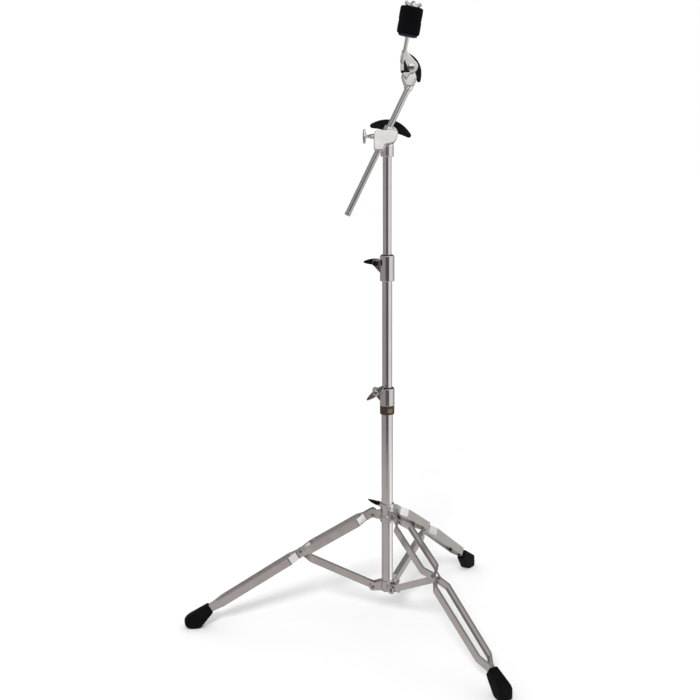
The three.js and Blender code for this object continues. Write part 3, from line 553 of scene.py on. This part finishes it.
BOOM_TILT = (6, 1104)  # x and height of the axis that the boom tilts about
CYMBAL_TILT = (49, 1242)  # the same for the cymbal tilter
BOOM_AXIS = leaning(25.98)
BOOM_Y = -26
ROD_BESIDE = 7.9  # from the tilt axis to the middle of the rod
ROD_RADIUS = 6.35
ROD_LOW = -185
ROD_HIGH = 116
CAP_RADIUS = 6.65
CAP_LENGTH = 9
CAP_GAP = 0.35

boom_centre = at(BOOM_TILT[0] - ROD_BESIDE * BOOM_AXIS[2], BOOM_Y, BOOM_TILT[1] + ROD_BESIDE * BOOM_AXIS[0])
rod_profile = [(0, ROD_LOW), (ROD_RADIUS, ROD_LOW), (ROD_RADIUS, ROD_HIGH), (0, ROD_HIGH)]
dress("boom_rod", lathe(rounded(rod_profile, 0.8), boom_centre, BOOM_AXIS))
cap_low = ROD_LOW - CAP_LENGTH
cap_high = ROD_LOW - CAP_GAP
cap_profile = [
    (0, cap_low), (5.55, cap_low), (CAP_RADIUS, cap_low + 1.4), (CAP_RADIUS, cap_high), (0, cap_high),
]
dress("boom_end_cap", lathe(rounded(cap_profile, 0.6), boom_centre, BOOM_AXIS))


def tilt_bolt(node, place, front, back, head_radius, shank=3.9, height=3.4):
    """Bolt along Y: a domed head in front and a threaded end at the back."""
    thread_start = back - 9
    top = height - front
    profile = [
        (0, top), (head_radius * 0.55, top), (head_radius - 0.9, height * 0.85 - front),
        (head_radius, height * 0.45 - front), (head_radius, -front), (shank, -front), (shank, -thread_start),
    ]
    profile += [(radius, -y) for radius, y in thread(shank, thread_start, back - 0.6)]
    profile += [(2.8, -back), (0, -back)]
    x, z = place
    dress(node, lathe(profile, at(x, 0, z), (0, -1, 0), 48))


tilt_bolt("boom_tilt_stud", BOOM_TILT, front=-15.3, back=29.35, head_radius=6.4)
tilt_bolt("cymbal_tilt_bolt", CYMBAL_TILT, front=-44.85, back=-0.15, head_radius=7.4)

# ---------------------------------------------------------------- stem and felts

STEM_AXIS = leaning(10.3)
STEM_FOOT = at(31.6, -40, 1252)
STEM_RADIUS = 4
STEM_TOP = 124
SEAT = 51.2  # where the seat washer starts along the stem
WASHER = 4.2
FELT = 27.6
FELT_BORE = 6.5
FELT_EDGE = 23.7
FELT_MIDDLE = 24
FELT_GAP = 0.35
FELTS = {  # shift across the stem, lower and upper corner radius
    "lower_felt": (-0.2, 4.2, 1.3),
    "upper_felt": (-0.9, 1.3, 3.4),
}


def quarter(steps=8):
    """Sine and cosine of angles from 0 to 90."""
    angles = [math.pi / 2 * i / steps for i in range(steps + 1)]
    return [(math.sin(angle), math.cos(angle)) for angle in angles]


def felt_outline(start, end, low_round, high_round):
    """Half section of a felt: slightly barrelled, with a lower and an upper corner radius."""
    lower = [(FELT_EDGE - low_round * (1 - s), start + low_round * (1 - c)) for s, c in quarter()]
    upper = [(FELT_EDGE - high_round * (1 - c), end - high_round * (1 - s)) for s, c in quarter()]
    middle = (FELT_MIDDLE, (start + end) / 2)
    return [(FELT_BORE, start), *lower, middle, *upper, (FELT_BORE, end), (FELT_BORE, start)]


stem_profile = [(0, 8.5), (STEM_RADIUS, 8.5), (STEM_RADIUS, 96), *thread(STEM_RADIUS, 96, STEM_TOP - 1.5)]
stem_profile += [(2.6, STEM_TOP), (0, STEM_TOP)]
dress("cymbal_stem", lathe(stem_profile, STEM_FOOT, STEM_AXIS, 48))

washer_top = SEAT + WASHER
washer_profile = [
    (5.55, SEAT), (17, SEAT), (20, SEAT + 1.6), (20, washer_top), (5.55, washer_top), (5.55, SEAT),
]
dress("cymbal_seat_washer", lathe(rounded(washer_profile, 0.7), STEM_FOOT, STEM_AXIS))

sleeve_top = washer_top + 2 * (FELT + FELT_GAP)
dress("stem_sleeve", lathe(pipe(5.2, 4.3, SEAT + 0.5, sleeve_top, 0.2), STEM_FOOT, STEM_AXIS, 48))

for i, (node, (shift, low_round, high_round)) in enumerate(FELTS.items()):
    start = washer_top + FELT_GAP + i * (FELT + FELT_GAP)
    outline = felt_outline(start, start + FELT, low_round, high_round)
    piece = dress(node, lathe(outline, STEM_FOOT, STEM_AXIS, 128, shift), 70)

# ---------------------------------------------------------------- studio


def make_floor():
    """Pale paper floor that the polished metal doesn't mirror."""
    bm = bmesh.new()
    bmesh.ops.create_grid(bm, x_segments=8, y_segments=8, size=30)
    floor = bpy.data.objects.new("studio_floor", as_mesh(bm, "studio_floor"))
    bpy.context.scene.collection.objects.link(floor)
    paper, shader = new_material("pale_paper", (0.9, 0.9, 0.9), 0.9)
    feed_all(paper, shader, {
        "Base Color": ramp(paper, noise(paper, 3, 3), [(0.3, (0.93, 0.93, 0.93)), (0.7, (0.95, 0.95, 0.95))]),
        "Specular IOR Level": 0.0,
    })
    floor.data.materials.append(paper)
    floor.visible_glossy = False


def grey(value, warmth=0.02):
    return (value * (1 + warmth), value, value * (1 - warmth))


def make_world():
    """White to the camera. The metal mirrors bands of light and dark, like softboxes and dark walls.

    Places in a band are degrees from the front towards the right. Heights are degrees above the horizon.
    """
    world = bpy.data.worlds.new("studio")
    bpy.context.scene.world = world
    world.use_nodes = True
    world.node_tree.nodes.clear()
    sight = axes(world, "Generated")
    around = compute(world, "ARCTAN2", sight["X"], compute(world, "MULTIPLY", sight["Y"], -1))
    spread = remap(world, around, 0, 1, -math.pi, math.pi)

    def band(*stops):
        """Colours round the stand."""
        return ramp(world, spread, [((degrees + 180) / 360, color) for degrees, color in stops])

    def stacked(low_end, high_end, below, above):
        """Two bands that blend between two heights."""
        ends = (math.sin(math.radians(low_end)), math.sin(math.radians(high_end)))
        return mix(world, remap(world, sight["Z"], 0, 1, *ends, "SMOOTHSTEP"), below, above)

    side_grey = (0.335, 0.305, 0.297)
    dark = (0.10, 0.088, 0.086)
    low_grey = (0.47, 0.435, 0.425)
    softbox = grey(1.05, 0)
    side_box = grey(0.80, 0)
    deep = band((-180, low_grey), (60, low_grey), (100, grey(0.55)), (180, grey(0.42)))
    ground = band(
        (-180, low_grey), (48, low_grey), (58, softbox), (102, softbox), (112, grey(0.5)), (180, grey(0.42)),
    )
    walls = band(
        (-180, side_grey), (-30, side_grey), (-22, dark), (20, dark), (36, side_box), (84, side_box),
        (96, grey(0.9, 0)), (106, grey(0.42)), (180, grey(0.40)),
    )
    front = band(
        (-180, grey(0.22)), (-112, grey(0.25)), (-100, grey(0.34)), (-26, grey(0.30)), (-10, softbox),
        (96, softbox), (118, grey(0.24)), (180, grey(0.22)),
    )
    low_half = stacked(-17, -13.5, stacked(-24, -21.5, deep, ground), walls)
    mirrored = stacked(50, 62, stacked(2.5, 9, low_half, front), grey(0.2))

    path = add_node(world, "ShaderNodeLightPath").outputs
    ambient = mix(world, path["Is Glossy Ray"], grey(0.77, 0), mirrored)
    seen = mix(world, path["Is Camera Ray"], ambient, grey(1, 0))
    background = add_node(world, "ShaderNodeBackground")
    feed(world, background.inputs["Color"], seen)
    out = add_node(world, "ShaderNodeOutputWorld")
    feed(world, out.inputs["Surface"], background.outputs["Background"])


KEY_RISE = 32  # above the horizon
KEY_TURN = -10  # from straight ahead
KEY_SPREAD = 11  # how broad the lamp looks
KEY_STRENGTH = 2.0


def make_key_light():
    """One broad lamp in front that draws the soft shadows, and isn't mirrored."""
    key = bpy.data.objects.new("key", bpy.data.lights.new("key", "SUN"))
    key.data.energy = KEY_STRENGTH
    key.data.angle = math.radians(KEY_SPREAD)
    key.rotation_euler = (math.radians(90 - KEY_RISE), 0, math.radians(KEY_TURN))
    key.visible_glossy = False
    bpy.context.scene.collection.objects.link(key)


CAMERA_DISTANCE = 2676
CAMERA_HEIGHT = 1114
CAMERA_TURN = math.radians(1.6)
CAMERA_DIP = 10  # how far it looks down
SENSOR = 36
LENS = 63.7714286
SHIFT_X = -0.0531
SHIFT_Y = -0.0031
FAR = 200  # metres


def make_camera():
    """Long lens at chest height, in front of the stand and looking slightly down."""
    data = bpy.data.cameras.new("camera")
    data.sensor_width = SENSOR
    data.lens = LENS
    data.shift_x = SHIFT_X
    data.shift_y = SHIFT_Y
    data.clip_end = FAR
    camera = bpy.data.objects.new("camera", data)
    camera.location = at(
        -CAMERA_DISTANCE * math.sin(CAMERA_TURN), -CAMERA_DISTANCE * math.cos(CAMERA_TURN), CAMERA_HEIGHT
    )
    camera.rotation_euler = (math.radians(90 - CAMERA_DIP), 0, -CAMERA_TURN)
    bpy.context.scene.collection.objects.link(camera)
    bpy.context.scene.camera = camera


make_floor()
make_world()
make_key_light()
make_camera()
bpy.context.scene.view_settings.view_transform = "Standard"
